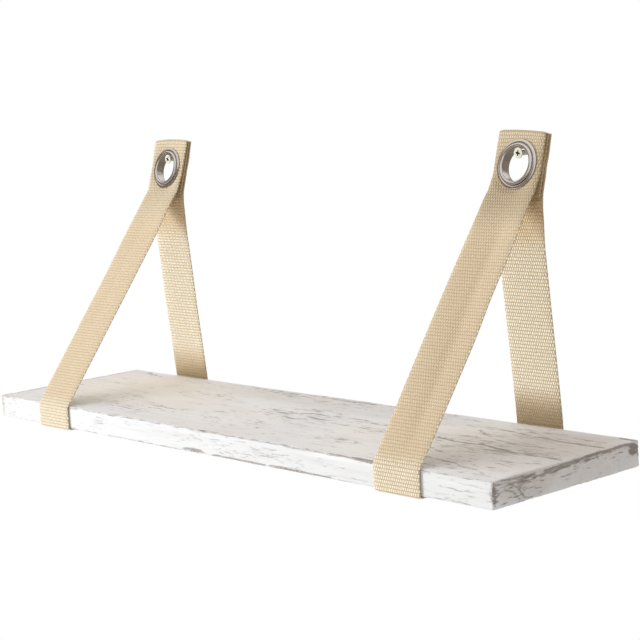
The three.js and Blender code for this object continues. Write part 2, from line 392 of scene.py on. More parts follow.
def strap_slip(point, front_slip, back_slip):
    """How far a place (Y, Z) on a strap lies along the board from the strap's head."""
    rise = BOARD_TOP - EYELET_CENTRE[1]
    to_front = BOARD_FRONT - EYELET_CENTRE[0]
    to_back = BOARD_BACK - EYELET_CENTRE[0]
    per_y = (front_slip - back_slip) / (to_front - to_back)
    per_z = (back_slip - per_y * to_back) / rise
    return per_y * (point[..., 0] - EYELET_CENTRE[0]) + per_z * (point[..., 1] - EYELET_CENTRE[1])


def lay(profile, sideways, in_front, place):
    """Moves the places (Y, Z) on a strap from the plain path to the way that the soft strap lies."""
    height, depth = head_place(profile)
    share = sideways / (WEBBING_WIDTH / 2)

    amount, top_share = place["puff"]
    free = smoothstep(PUFF_HELD, PUFF_FREE, np.hypot(height, sideways))
    puff = free * smoothstep(PUFF_TO, PUFF_FROM, height) * np.clip(depth / HEAD_THICKNESS, 0, 1)
    puff = puff * (1 - (1 - top_share) * smoothstep(PUFF_TOP_FROM, HEAD_ABOVE, height))
    inward = puff * amount

    on_front = in_front & (depth < LAYER_PITCH)
    legs = {"front": on_front, "back": ~in_front}
    for leg, edge, amount, *heights in place["curls"]:
        curl = window(height, *(value * MM for value in heights)) * legs[leg]
        if edge:
            curl = curl * free * smoothstep(CURL_FROM_SHARE, 1, edge * share)
        inward = inward - curl * amount * MM

    middle, sunk = place["crease"]
    aside = (sideways - middle * WEBBING_WIDTH / 2) / CREASE_WIDTH
    crease = window(height, *CREASE_HEIGHTS) * on_front
    inward = inward + sunk * crease * np.exp(-(aside**2))

    middle, tilt, arch = place["top"]
    rise = smoothstep(TOP_FROM, HEAD_ABOVE, height) * (middle + tilt * share - arch * share**2)
    return profile + HEAD_IN * inward[..., None] + HEAD_UP * rise[..., None]


def toning(profile, across, inner, in_front, face_shade_share):
    """How far the floats stand out, with painted light, and the painted shade and warm painted shade,
    at the webbing's places (Y, Z).
    """
    height, depth = head_place(profile)
    above = profile[..., 1] - BOARD_TOP
    from_edge = WEBBING_WIDTH / 2 - np.abs(across)

    # Painted shade between the head's layers and along their edges
    deep = smoothstep(0, SHADE_DEPTH, depth) * smoothstep(0, SHADE_DEPTH, HEAD_THICKNESS - depth)
    rim = smoothstep(SHADE_RIM, 0, from_edge)
    rim = rim * smoothstep(SHADE_RIM_FROM_SHARE, SHADE_RIM_TO_SHARE, depth / HEAD_THICKNESS)
    layered = SHADE_SHARE * np.maximum(deep, rim) * smoothstep(SHADE_TO, SHADE_FROM, height)
    # Painted shadow of the board on the inside of the back leg, just above the board's top
    rubbing_and_board_shadow = BOARD_SHADOW_SHARE * smoothstep(BOARD_SHADOW_TO, BOARD_SHADOW_FROM, above) * (above > 0) * inner * ~in_front
    # Warm painted shade where the two legs meet inside the loop, and in the board's painted shadow
    warm_shade = np.maximum(smoothstep(WARM_SHADE_TO, WARM_SHADE_FROM, height) * inner, rubbing_and_board_shadow)
    # Painted shade on the front of the head, weaker towards its top
    face = smoothstep(FACE_TO, FACE_FROM, height) * in_front * ~inner
    painted_face_shade = face * face_shade_share * (1 - FACE_TOP_SHARE * smoothstep(0, HEAD_ABOVE, height))
    shade = np.maximum(np.maximum(layered, rubbing_and_board_shadow), painted_face_shade)

    # Raised floats inside the loop and round the board, with paler yarn there as painted light
    foot = FOOT_RAISED * smoothstep(RAISED_ABOVE, 0, above)
    # Painted highlight along the selvedges
    selvedge = SELVEDGE_HIGHLIGHT * smoothstep(SELVEDGE_HIGHLIGHT_BAND, 0, from_edge)
    raised_and_lit = np.maximum(np.maximum(inner, foot), selvedge) * (1 - shade * (above > BOARD_SHADOW_TO))
    return {"raised_and_lit": np.maximum(raised_and_lit, FACE_RAISED * face), "shade": shade, "warm_shade": warm_shade}


def make_strap(side, material):
    place = STRAPS[side]
    points, headings = strap_path()
    steps = np.hypot(*np.diff(points, axis=0).T)
    along = np.concatenate([[0], np.cumsum(steps)])
    length = along[-1]
    rows = round(length / ROW_PITCH)
    stations = np.linspace(0, length, rows * ROW_STEPS + 1)
    y, z, heading = (np.interp(stations, along, values) for values in (*points.T, headings))
    outward = np.stack([-np.sin(heading), np.cos(heading)], axis=1)

    # Rounded rows with a narrow groove between them, also along the selvedge
    row = stations / length * rows
    swell = np.abs(np.sin(math.pi * row)) ** ROW_ROUNDNESS
    thin = 1 - (1 - swell) * ROW_RELIEF / (WEBBING_THICKNESS / 2)
    narrow = 1 - (1 - swell) * SELVEDGE_RELIEF / (WEBBING_WIDTH / 2)

    across, out = webbing_section().T
    profile = np.stack([y, z], axis=1)[:, None] + outward[:, None] * (thin[:, None] * out)[..., None]
    count, sides = profile.shape[:2]
    inner = np.tile(out < 0, (count, 1))
    in_front = (stations > length / 2)[:, None]
    tones = toning(profile, across, inner, in_front, place["face_shade_share"])
    sideways = narrow[:, None] * across
    profile = lay(profile, sideways, in_front, place)
    x = place["x"] + sideways + strap_slip(profile, *place["slips"])
    vertices = np.concatenate([x[..., None], profile], axis=2).reshape(-1, 3)
    faces = ring_faces(count, sides) + end_caps(count, sides)
    strap = new_piece(
        f"{side}_webbing", vertices, faces, material, f"{side}_hanger", f"{side}_strap"
    )
    lay_weave_map(strap.data, np.tile(across, count), np.repeat(row * ROW_PITCH, sides))
    point_values(strap.data, **tones)

    hole_end = HEAD_THICKNESS + place["puff"][0] + WEBBING_THICKNESS
    hole = [(HOLE_RADIUS, -WEBBING_THICKNESS), (HOLE_RADIUS, hole_end)]
    cut(strap, [add_solid("hole", *turned(hole, place["x"], closed=False))])


def end_caps(count, sides):
    """Faces that close the two cut ends of the webbing, from its outer to its inner face."""
    half = sides // 2
    caps = []
    for first in (0, (count - 1) * sides):
        for j in range(FACE_COLUMNS - 1):
            near = first + j
            far = first + half + FACE_COLUMNS - 1 - j
            caps.append((near, near + 1, far - 1, far))
        caps.append(tuple(first + FACE_COLUMNS - 1 + k for k in range(SELVEDGE_STEPS + 2)))
        edge = [half + FACE_COLUMNS - 1 + k for k in range(SELVEDGE_STEPS + 1)]
        caps.append(tuple(first + k % sides for k in edge) + (first,))
    return caps


def point_values(mesh, **layers):
    """Numbers at each point of a mesh, which its material reads by name."""
    for name, values in layers.items():
        layer = mesh.attributes.new(name, "FLOAT", "POINT")
        layer.data.foreach_set("value", np.asarray(values, np.float32).ravel())


def lay_weave_map(mesh, across, along):
    """A flat map of the webbing in metres, which the weave's material reads."""
    layer = mesh.uv_layers.new(name="weave")
    corners = np.zeros(len(mesh.loops), int)
    mesh.loops.foreach_get("vertex_index", corners)
    layer.data.foreach_set("uv", np.stack([across[corners], along[corners]], axis=1).ravel())


# Metal


def arc_points(radius, depth, size, start, end, steps):
    """Arc in a profile of (radius, depth)."""
    angles = np.linspace(start, end, steps + 1)
    return [(radius + size * math.cos(a), depth + size * math.sin(a)) for a in angles]


def turned(profile, x, closed=True):
    """Points and faces of a profile turned about an eyelet's axis. A closed profile is a ring."""
    profile = np.array(profile)
    angles = np.linspace(0, 2 * math.pi, RING_SIDES, endpoint=False)[:, None]
    inward, upward = np.array((0, *HEAD_IN)), np.array((0, *HEAD_UP))
    spokes = np.cos(angles) * X_AXIS + np.sin(angles) * upward
    centre = np.array((x, *EYELET_CENTRE))
    rings = centre + profile[:, 1, None, None] * inward + profile[:, 0, None, None] * spokes
    count, sides = rings.shape[:2]
    faces = ring_faces(count, sides, closed)
    if not closed:
        faces += [range(sides), range((count - 1) * sides, count * sides)]
    return rings.reshape(-1, 3), faces


def ring_piece(side, name, node, profile, material):
    """One metal ring of a hanger."""
    points, faces = turned(profile, STRAPS[side]["x"])
    new_piece(f"{side}_{name}", points, faces, material, f"{side}_hanger", f"{side}_{node}")


def make_eyelet(side, material):
    """A flange behind, the barrel, and a rim that is rolled outward in front."""
    rim = BORE_RADIUS + RIM_RADIUS
    flange, edge = FLANGE_RADIUS - FLANGE_EDGE_RADIUS, FLANGE_EDGE_RADIUS
    bore, bore_edge = BORE_RADIUS + BORE_EDGE_RADIUS, BORE_EDGE_RADIUS
    profile = [
        *arc_points(rim, RIM_DEPTH, RIM_RADIUS, math.pi, 2 * math.pi, RIM_STEPS),
        *arc_points(rim, RIM_DEPTH, RIM_RADIUS - EYELET_WALL, 2 * math.pi, math.pi, RIM_STEPS),
        (BORE_RADIUS + EYELET_WALL, FLANGE_FRONT),
        (flange, FLANGE_FRONT),
        *arc_points(flange, FLANGE_BACK - edge, edge, 0, math.pi / 2, CORNER_STEPS),
        *arc_points(bore, FLANGE_BACK - bore_edge, bore_edge, math.pi / 2, math.pi, CORNER_STEPS),
    ]
    ring_piece(side, "eyelet_ring", "eyelet", profile, material)


def make_washer(side, material):
    """The domed ring under the rolled rim: flat behind, a smooth hump in front."""
    dome_from = BORE_RADIUS + 2 * RIM_RADIUS
    dome_to = WASHER_RADIUS - WASHER_EDGE
    back = -METAL_GAP
    profile = [(HOLE_RADIUS, back), (HOLE_RADIUS, WASHER_TOP)]
    for share in np.linspace(0, 1, RIM_STEPS + 1):
        radius = dome_from + (dome_to - dome_from) * share
        depth = WASHER_TOP - WASHER_DOME * math.sin(math.pi * share) + WASHER_EDGE / 2 * share
        profile.append((radius, depth))
    profile += [(WASHER_RADIUS, back - WASHER_EDGE), (WASHER_RADIUS - WASHER_EDGE, back)]
    ring_piece(side, "washer_ring", "eyelet_washer", profile, material)


def screw_profile():
    """(radius, distance from the head) from the crown to the tip, both on the axis."""
    cone_end = HEAD_RIM + HEAD_RADIUS - SHANK_RADIUS
    thread_start = SCREW_LENGTH - THREAD_LENGTH
    core = SHANK_RADIUS - THREAD_DEPTH / 2
    angles = np.linspace(0, math.pi / 2, CORNER_STEPS + 1)
    profile = [(HEAD_RADIUS * math.sin(a), -HEAD_CROWN * math.cos(a)) for a in angles]
    profile += [(HEAD_RADIUS, HEAD_RIM), (SHANK_RADIUS, cone_end)]
    profile += [(SHANK_RADIUS, thread_start - THREAD_PITCH)]
    rows = round(THREAD_LENGTH / THREAD_PITCH * THREAD_STEPS)
    for along in thread_start + THREAD_LENGTH * np.arange(rows) / rows:
        profile.append((core * min(1, (SCREW_LENGTH - along) / TIP_LENGTH), along))
    return np.array([*profile, (0, SCREW_LENGTH)])


def make_screw(side, material):
    profile = screw_profile()
    radius, along = (profile[1:-1, k][:, None] for k in (0, 1))
    angles = np.linspace(0, 2 * math.pi, SCREW_SIDES, endpoint=False)[None]
    place = (along / THREAD_PITCH + angles / (2 * math.pi)) % 1
    ridge = np.maximum(0, 1 - np.abs(place * 2 - 1) * 2)
    taper = np.minimum(1, (SCREW_LENGTH - along) / TIP_LENGTH)
    threaded = along >= SCREW_LENGTH - THREAD_LENGTH
    swollen = radius + THREAD_DEPTH * ridge * taper * threaded
    start = np.array((STRAPS[side]["x"], -SCREW_PROUD, 0))
    rings = np.stack([swollen * np.cos(angles), along + 0 * angles, swollen * np.sin(angles)], axis=2)
    ends = [(0, profile[0, 1], 0), (0, profile[-1, 1], 0)]
    points = np.concatenate([rings.reshape(-1, 3), ends]) + start
    count, sides = len(rings), SCREW_SIDES
    faces = ring_faces(count, sides)
    for j in range(sides):
        following = (j + 1) % sides
        faces.append((count * sides, j, following))
        faces.append((count * sides + 1, (count - 1) * sides + following, (count - 1) * sides + j))
    screw = new_piece(
        f"{side}_screw", points, faces, material, "wall_screws", f"{side}_wall_screw"
    )
    cut(screw, [recess_blade(start, RECESS_TURNS[side] + k * math.pi / 2) for k in (0, 1)])


def recess_blade(start, turn):
    """One tapered blade of the cross recess."""
    span, half = RECESS_SPAN / 2, RECESS_WIDTH / 2
    corners = [
        (a * span * share, depth, b * half * share)
        for share, depth in ((1, -HEAD_CROWN - METAL_GAP), (RECESS_FOOT_SHARE, RECESS_DEPTH))
        for a, b in ((-1, -1), (1, -1), (1, 1), (-1, 1))
    ]
    turned_by = Matrix.Rotation(turn, 3, "Y")
    points = [np.array(turned_by @ Vector(c)) + start for c in corners]
    faces = [(0, 1, 2, 3), (7, 6, 5, 4)]
    faces += [(j, j + 4, (j + 1) % 4 + 4, (j + 1) % 4) for j in range(4)]
    return add_solid("blade", points, faces)


# Board

# Places on the board, each with its centre and its reach in millimetres from the board's own middle,
# and a strength. First where the whitewash is rubbed off down to the wood
RUBBED = [
    ((187, -75, 9), (30, 3, 2.5), 0.9),
    ((120, -75, 9), (34, 2, 2), 0.6),
    ((0, -75, 9), (26, 2, 2), 0.55),
    ((40, -75, -9), (34, 2, 1.8), 0.85),
    ((-14, -75, -8), (12, 2, 2.4), 0.9),
    ((100, -75, -9), (30, 2, 2), 0.85),
    ((136, -75, -9), (16, 2, 1.8), 0.8),
    ((-190, -75, -9), (26, 2, 1.5), 0.5),
    ((262, -75, -8), (30, 2, 2.5), 0.35),
    ((-60, 75, 9), (80, 3, 3), 0.5),
    ((60, 75, 9), (90, 3, 3), 0.5),
    ((0, 75, -9), (120, 4, 4), 0.7),
    ((-220, 75, -6), (50, 4, 5), 0.5),
    ((300, -40, 5), (4, 15, 4), 0.8),
    ((300, -10, 6), (4, 24, 3.4), 0.75),
    ((300, 24, 7), (4, 26, 3), 0.8),
    ((300, 52, 7.5), (4, 18, 2.4), 0.75),
    ((300, 69, 4), (6, 7, 6), 1.0),
    ((300, -73, 0), (4, 3, 9), 0.85),
    ((300, -40, -8), (4, 14, 3), 0.4),
    ((-300, -60, 5), (4, 16, 5), 0.9),
    ((-300, 30, 3), (4, 40, 5), 0.85),
    ((-300, -10, -8), (4, 30, 4), 0.6),
]
# Then where thin streaks of wood show through
STREAKED = [
    ((-140, -45, 9), (60, 14, 4), 0.6),
    ((-190, -18, 9), (40, 16, 4), 0.45),
    ((-110, 25, 9), (60, 14, 4), 0.4),
    ((20, 12, 9), (60, 22, 4), 0.75),
    ((90, 0, 9), (60, 26, 4), 0.6),
    ((20, 62, 9), (170, 12, 4), 0.75),
    ((110, -42, 9), (60, 12, 4), 0.45),
    ((225, 0, 9), (75, 26, 4), 0.9),
    ((230, 45, 9), (80, 20, 4), 0.8),
    ((235, -48, 9), (60, 22, 4), 0.7),
    ((-20, -30, 9), (70, 30, 4), 0.4),
    ((60, -75, 0), (120, 4, 7), 0.35),
    ((-262, -75, -5), (34, 4, 8), 0.3),
    ((270, -75, -4), (34, 4, 10), 0.25),
    ((300, 25, 4), (4, 60, 6), 0.5),
    ((300, -50, 0), (4, 30, 10), 1.0),
    ((-300, 0, 0), (4, 70, 10), 0.6),
    ((0, 75, 0), (280, 4, 9), 0.45),
    ((40, 0, -9), (240, 60, 4), 0.4),
]
# Then where the paint has taken on a brown grey tone, and where it is creamy
STAINED = [
    ((262, 5, 9), (100, 60, 6), 0.35),
    ((272, 30, 9), (60, 50, 6), 0.6),
    ((20, 55, 9), (170, 26, 6), 0.25),
    ((300, -40, 2), (5, 34, 12), 0.55),
    ((300, 30, 0), (5, 60, 12), 0.35),
    ((-300, 0, 0), (6, 150, 20), 0.95),
]
CREAMY = [
    ((-190, 15, 9), (110, 60, 6), 0.9),
    ((-60, -10, 9), (90, 60, 6), 0.35),
    ((160, -20, 9), (90, 60, 6), 0.5),
]
# Cracks and grain lines: the width, the strength, and the places passed on that face, which are
# (x, y) on the top, (x, z) on the front and (y, z) on the right end, in millimetres too
TOP_LINES = [
    (2.2, 0.8, (-273, 67), (-260, 65), (-247, 63)),
    (1.8, 0.7, (-162, -47), (-147, -49), (-132, -50), (-121, -48)),
    (1.8, 0.75, (-136, -29), (-112, -30), (-90, -32), (-80, -24)),
    (1.6, 0.6, (-105, -41), (-92, -38), (-75, -37)),
    (2, 0.5, (-151, 31), (-117, 23), (-88, 20)),
    (2.4, 0.9, (-22, 12), (-6, 7), (10, 9), (18, 18), (30, 16), (46, 18)),
    (2, 0.85, (6, -2), (24, -5), (33, 4), (48, 3), (60, 8)),
    (1.8, 0.7, (-4, 24), (14, 28), (27, 31), (44, 28)),
    (1.6, 0.6, (40, -66), (44, -58), (58, -52)),
    (2, 0.75, (48, 19), (78, 21), (115, 13), (138, 10)),
    (1.8, 0.7, (62, 0), (86, 1), (111, -2), (130, 3)),
    (1.8, 0.6, (89, -45), (116, -45), (138, -39)),
    (1.8, 0.5, (98, -59), (110, -58), (122, -60)),
    (3, 1, (170, 8), (198, 3), (220, 5), (244, 0), (265, -2), (296, -3)),
    (2.6, 0.9, (182, 41), (192, 34), (204, 29)),
    (2.6, 0.9, (192, 51), (226, 46), (262, 41), (296, 42)),
    (2, 0.7, (213, 22), (240, 19), (270, 20)),
    (2.2, 0.8, (206, -44), (224, -46), (243, -48)),
    (2, 0.7, (246, -52), (264, -55), (280, -60)),
    (2, 0.7, (256, -27), (279, -24), (292, -18)),
    (2.2, 0.7, (163, -11), (186, -21), (209, -29)),
    (3.2, 0.9, (286, 71), (298, 72)),
    (2.4, 0.6, (-120, 70), (-63, 68), (-7, 70), (60, 69), (130, 71)),
    (2.8, 0.9, (152, -74), (172, -74), (193, -74)),
    (2, 0.6, (72, -74), (113, -74), (147, -74)),
    (2, 0.6, (-27, -74), (-3, -74), (18, -74)),
]
FRONT_LINES = [
    (0.9, 0.62, (-190, 9), (-60, 9), (60, 9), (188, 9)),
    (0.9, 0.55, (234, 9), (299, 9)),
    (0.6, 0.6, (-63, 3), (-50, 2.4)),
    (0.6, 0.6, (-44, 1.5), (-28, 2.6)),
    (0.6, 0.6, (-20, 3), (-4, 2)),
    (0.6, 0.5, (-36, -1.5), (-26, -1)),
    (0.6, 0.5, (60, 0), (72, 0.6)),
    (0.6, 0.5, (92, 2), (100, 2.8)),
    (0.9, 0.9, (-30, -8), (-20, -6.6), (-8, -7.4), (0, -8.6)),
    (0.8, 0.9, (7, -8.4), (39, -8), (71, -8)),
    (0.9, 0.9, (77, -8), (94, -7.4), (116, -8.2), (143, -8.4)),
    (0.7, 0.7, (-187, -9), (-116, -9), (-27, -9)),
    (0.8, 0.6, (-299, 6), (-297, 2)),
    (0.8, 0.7, (237, 8.6), (245, 7.4)),
    (0.7, 0.6, (252, 1), (268, 0)),
    (0.9, 0.7, (262, -8), (280, -8.4)),
    (0.7, 0.5, (276, 5), (292, 4)),
]
END_LINES = [
    (2.2, 1, (-24, 6.4), (-2, 7.2), (22, 7.6), (49, 8), (70, 7.4)),
    (1.8, 0.9, (-46, 6.6), (-29, 4.4), (-14, 4.6), (2, 6)),
    (1.6, 0.85, (-71, 6.4), (-58, 5.4), (-51, 1), (-45, -6)),
    (1.4, 0.75, (-71, -1), (-63, 2), (-55, -1), (-49, -7)),
    (1.6, 0.85, (-66, 8.2), (-56, 7.6), (-44, 7.8)),
    (1.4, 0.9, (-73, 8), (-73, -7)),
    (1.6, 0.9, (63, 7.4), (70, 4.4), (73.4, -1)),
    (1, 0.6, (-10, -1), (11, 0.6), (32, 2)),
]
LINE_SOFTNESS = 0.8
TOP_WOBBLE = 3.5
FRONT_WOBBLE = 1
END_WOBBLE = 1.6
SPOT_REACH_SQUARED = 1.3

# Edges and grain of the board. The front's and the ends' own paint tones, which are painted light, and
# the ends' cross grain come in between two depths.
EDGE_ROUND = 0.5 * MM
EDGE_ROUND_SPREAD = 0.6 * MM
EDGE_WEAR = 0.4
EDGE_WEAR_REACH = 2.2 * MM
FACE_REACH = 1.5 * MM
TONE_FROM = 1.2 * MM
TONE_TO = 0.3 * MM
BOARD_RELIEF = 0.5 * MM
PAINTED_RELIEF_SHARE = 0.35
COARSE_SHARE = 0.6
BARE_SHARE = 0.35
FURROW_FROM = 0.55
FURROW_TO = 0.9
EDGE_BAND = 3 * MM
EDGE_STEP = 0.5 * MM
GRAIN_STEP = 0.85 * MM
LENGTH_STEP = 3.6 * MM

# Random values of the board: how many there are along each axis, and how far apart they lie
NOISE_SEED = 7
NOISE_COUNT = 32
ROUNDING_CELLS = (18 * MM, 14 * MM, 40 * MM)
COARSE_CELLS = (60 * MM, 3.1 * MM, 3.3 * MM)
FINE_CELLS = (22 * MM, 1.3 * MM, 1.5 * MM)
WOBBLE_CELLS = (9 * MM, 14 * MM, 14 * MM)


def spread(low, high, step):
    """Places from low to high, close together near both ends and step apart between them."""
    near = np.arange(0, EDGE_BAND, EDGE_STEP)
    count = round((high - low - 2 * EDGE_BAND) / step) + 1
    inner = np.linspace(low + EDGE_BAND, high - EDGE_BAND, count)
    return np.concatenate([low + near, inner, (high - near)[::-1]])


def box_grid(xs, ys, zs):
    """Points and faces of a closed grid over the six faces of a box."""
    shape = (len(xs), len(ys), len(zs))
    skin = np.zeros(shape, bool)
    skin[[0, -1]] = skin[:, [0, -1]] = skin[:, :, [0, -1]] = True
    index = np.full(shape, -1)
    index[skin] = np.arange(skin.sum())
    i, j, k = np.nonzero(skin)
    faces = []
    for axis in range(3):
        for end in (0, -1):
            sheet = np.take(index, end, axis)
            corners = sheet[:-1, :-1], sheet[1:, :-1], sheet[1:, 1:], sheet[:-1, 1:]
            faces += np.stack(corners, axis=2).reshape(-1, 4).tolist()
    return np.stack([xs[i], ys[j], zs[k]], axis=1), faces


def drift(points, cells, seed):
    """Smooth random values from 0 to 1 over points, with cells of the given size."""
    grid = np.random.default_rng(seed).random((NOISE_COUNT, NOISE_COUNT, NOISE_COUNT))
    place = points / np.array(cells)
    base = np.floor(place).astype(int)
    share = smoothstep(0, 1, place - base)
    value = 0
    for corner in np.ndindex(2, 2, 2):
        weight = np.where(corner, share, 1 - share).prod(axis=1)
        value = value + weight * grid[tuple((base + corner).T % NOISE_COUNT)]
    return value


def spots(local, places):
    """How strongly each point lies in one of the places, from 0 to 1."""
    values = np.zeros(len(local))
    for centre, reach, strength in places:
        offset = (local / MM - np.array(centre)) / np.array(reach)
        near = np.clip(SPOT_REACH_SQUARED - (offset**2).sum(axis=1), 0, 1)
        values = np.maximum(values, strength * near)
    return values


def line_marks(spot, rows):
    """How strongly each place on a face lies on one of its lines, from 0 to 1."""
    marks = np.zeros(len(spot))
    for width, strength, *places in rows:
        nearest = np.full(len(spot), np.inf)
        for a, b in zip(np.array(places, float), np.array(places[1:], float)):
            share = np.clip((spot - a) @ (b - a) / ((b - a) @ (b - a)), 0, 1)
            nearest = np.minimum(nearest, np.linalg.norm(spot - a - share[:, None] * (b - a), axis=1))
        mark = strength * smoothstep(width / 2 + LINE_SOFTNESS, width / 2 - LINE_SOFTNESS / 2, nearest)
        marks = np.maximum(marks, mark)
    return marks


def lines(local, half):
    """How strongly each point lies on one of the board's lines, from 0 to 1."""
    values = np.zeros(len(local))
    wobble = drift(local, WOBBLE_CELLS, NOISE_SEED + 3) - 0.5
    faces = (
        (TOP_LINES, TOP_WOBBLE, (0, 1), local[:, 2] > half[2] - FACE_REACH),
        (FRONT_LINES, FRONT_WOBBLE, (0, 2), local[:, 1] < FACE_REACH - half[1]),
        (END_LINES, END_WOBBLE, (1, 2), local[:, 0] > half[0] - FACE_REACH),
    )
    for rows, waver, plane, on_face in faces:
        spot = local[on_face][:, plane] / MM
        spot[:, 1] += waver * wobble[on_face]
        values[on_face] = np.maximum(values[on_face], line_marks(spot, rows))
    return values


def make_board(material):
    steps = (LENGTH_STEP, GRAIN_STEP, GRAIN_STEP)
    points, faces = box_grid(*map(spread, BOARD_LOW, BOARD_HIGH, steps))
    local = points - BOARD_MIDDLE

    # Edges worn round, more in some stretches than in others
    rounding = EDGE_ROUND + EDGE_ROUND_SPREAD * drift(points, ROUNDING_CELLS, NOISE_SEED)
    half = (BOARD_HIGH - BOARD_LOW) / 2
    core = np.clip(local, -(half - rounding[:, None]), half - rounding[:, None])
    away = local - core
    distance = np.linalg.norm(away, axis=1)
    normal = away / distance[:, None]
    local = core + normal * np.minimum(distance, rounding)[:, None]

    inset = half - np.abs(local)
    on_edge = (inset < EDGE_BAND).sum(axis=1) > 1
    rubbing_and_board_shadow = smoothstep(EDGE_WEAR_REACH, 0, np.sort(inset, axis=1)[:, 1]) * on_edge
    wear = np.maximum(spots(local, RUBBED), EDGE_WEAR * rubbing_and_board_shadow)
    line = lines(local, half)
    bare = np.maximum(wear, line)

    # The grain: long shallow furrows, deeper where the paint is worn through
    coarse = drift(local, COARSE_CELLS, NOISE_SEED + 1)
    fine = drift(local, FINE_CELLS, NOISE_SEED + 2)
    grain = COARSE_SHARE * coarse + (1 - COARSE_SHARE) * fine + BARE_SHARE * bare
    furrow = smoothstep(FURROW_FROM, FURROW_TO, grain)
    depth = BOARD_RELIEF * furrow * (PAINTED_RELIEF_SHARE + (1 - PAINTED_RELIEF_SHARE) * bare)
    local = local - normal * depth[:, None]

    places = local + BOARD_MIDDLE
    board = new_piece(
        "whitewashed_board", places, faces, material, "shelf_board", "board"
    )
    point_values(
        board.data,
        wear=wear,
        furrow=furrow,
        line=line,
        streaked=spots(local, STREAKED),
        stained=spots(local, STAINED),
        creamy=spots(local, CREAMY),
        front=smoothstep(TONE_FROM - half[1], TONE_TO - half[1], local[:, 1]),
        end=smoothstep(half[0] - TONE_FROM, half[0] - TONE_TO, np.abs(local[:, 0])),
    )


# Materials


class Shader:
    """The plain shader of a material or a world, and short ways to add nodes that lead to it."""

    def __init__(self, owner, surface, inputs):
        owner.use_nodes = True
        self.owner = owner
        self.tree = owner.node_tree
        self.surface = self.tree.nodes[surface]
        self.fill(self.surface, inputs)

    def fill(self, node, inputs):
        """Puts a value or a link on each of a node's inputs, which go by their names or numbers."""
        for socket, value in inputs.items():
            if isinstance(value, bpy.types.NodeSocket):
                self.tree.links.new(value, node.inputs[socket])
            else:
                node.inputs[socket].default_value = value

    def node(self, kind, inputs, **settings):
        made = self.tree.nodes.new(kind)
        for name, value in settings.items():
            setattr(made, name, value)
        self.fill(made, inputs)
        return made.outputs

    def math(self, operation, *values):
        return self.node("ShaderNodeMath", dict(enumerate(values)), operation=operation)[0]

    def times(self, first, second, plus=0.0):
        return self.math("MULTIPLY_ADD", first, second, plus)

    def plus(self, first, second):
        return self.math("ADD", first, second)

    def wave(self, value):
        """0 at each whole number and 1 halfway between two."""
        return self.math("ABSOLUTE", self.math("SINE", self.times(value, math.pi)))

    def ramp(self, value, low, high, to_low=0.0, to_high=1.0):
        inputs = dict(enumerate((value, low, high, to_low, to_high)))
        return self.node("ShaderNodeMapRange", inputs, interpolation_type="SMOOTHSTEP")[0]

    def mix(self, share, first, second):
        return self.node("ShaderNodeMix", {"Factor": share, 6: first, 7: second}, data_type="RGBA")[2]

    def tint(self, base, share, strength, colour):
        """The base with some of the colour, as the share and the strength say."""
        return self.mix(self.times(share, strength), base, colour)

    def blend(self, share, first, second):
        """The first number where the share is 0, and the second where it is 1."""
        return self.times(self.math("SUBTRACT", second, first), share, first)

    def noise(self, cells, detail=3.0, roughness=0.55):
        """Noise with this many cells to the metre along the piece's X, Y and Z."""
        place = self.node("ShaderNodeVectorMath", {0: self.place(), 1: cells}, operation="MULTIPLY")[0]
        inputs = {"Vector": place, "Scale": 1.0, "Detail": detail, "Roughness": roughness}
        return self.node("ShaderNodeTexNoise", inputs)["Fac"]

    def attribute(self, name):
        return self.node("ShaderNodeAttribute", {}, attribute_name=name)["Fac"]

    def place(self):
        return self.node("ShaderNodeTexCoord", {})["Object"]

    def parts(self, vector):
        return self.node("ShaderNodeSeparateXYZ", {0: vector})

    def colour(self, value):
        self.fill(self.surface, {"Base Color": value})

    def roughness(self, value):
        self.fill(self.surface, {"Roughness": value})

    def bump(self, height, distance, strength):
        inputs = {"Height": height, "Distance": distance, "Strength": strength}
        self.fill(self.surface, {"Normal": self.node("ShaderNodeBump", inputs)[0]})

    def white_to_camera(self, output, white):
        """White where the camera, a reflection or glass looks, and the plain shader for other light."""
        path = self.node("ShaderNodeLightPath", {})
        seen = path["Is Camera Ray"]
        for ray in ("Is Glossy Ray", "Is Transmission Ray"):
            seen = self.math("MAXIMUM", seen, path[ray])
        bright = self.node(white, {"Color": (1, 1, 1, 1), "Strength": 1})[0]
        mixed = self.node("ShaderNodeMixShader", {0: seen, 1: self.surface.outputs[0], 2: bright})[0]
        self.fill(self.tree.nodes[output], {"Surface": mixed})


def new_material(name, inputs):
    return Shader(bpy.data.materials.new(name), "Principled BSDF", inputs)


def srgb(red, green, blue):
    """A colour as it is seen on a screen, from 0 to 255, as the shader's linear one."""
    values = np.array((red, green, blue)) / 255
    linear = np.where(values <= 0.04045, values / 12.92, ((values + 0.055) / 1.055) ** 2.4)
    return (*linear, 1.0)


# Yarn outside and inside the loops: its two tones, the tops of its floats with a painted highlight, and
# its grooves with painted shade. The inside yarn is paler, which is painted light.
OUTSIDE_YARN = (srgb(196, 177, 146), srgb(202, 183, 153), srgb(225, 208, 179), srgb(186, 167, 136))
INSIDE_YARN = (srgb(217, 200, 171), srgb(223, 207, 179), srgb(255, 251, 236), srgb(186, 166, 131))
HAIR = srgb(184, 160, 120)
FLECK = srgb(180, 158, 122)
# Warm painted shade and painted shade of the yarn
WARM_SHADE_YARN = srgb(212, 176, 118)
SHADED_YARN = srgb(154, 132, 96)

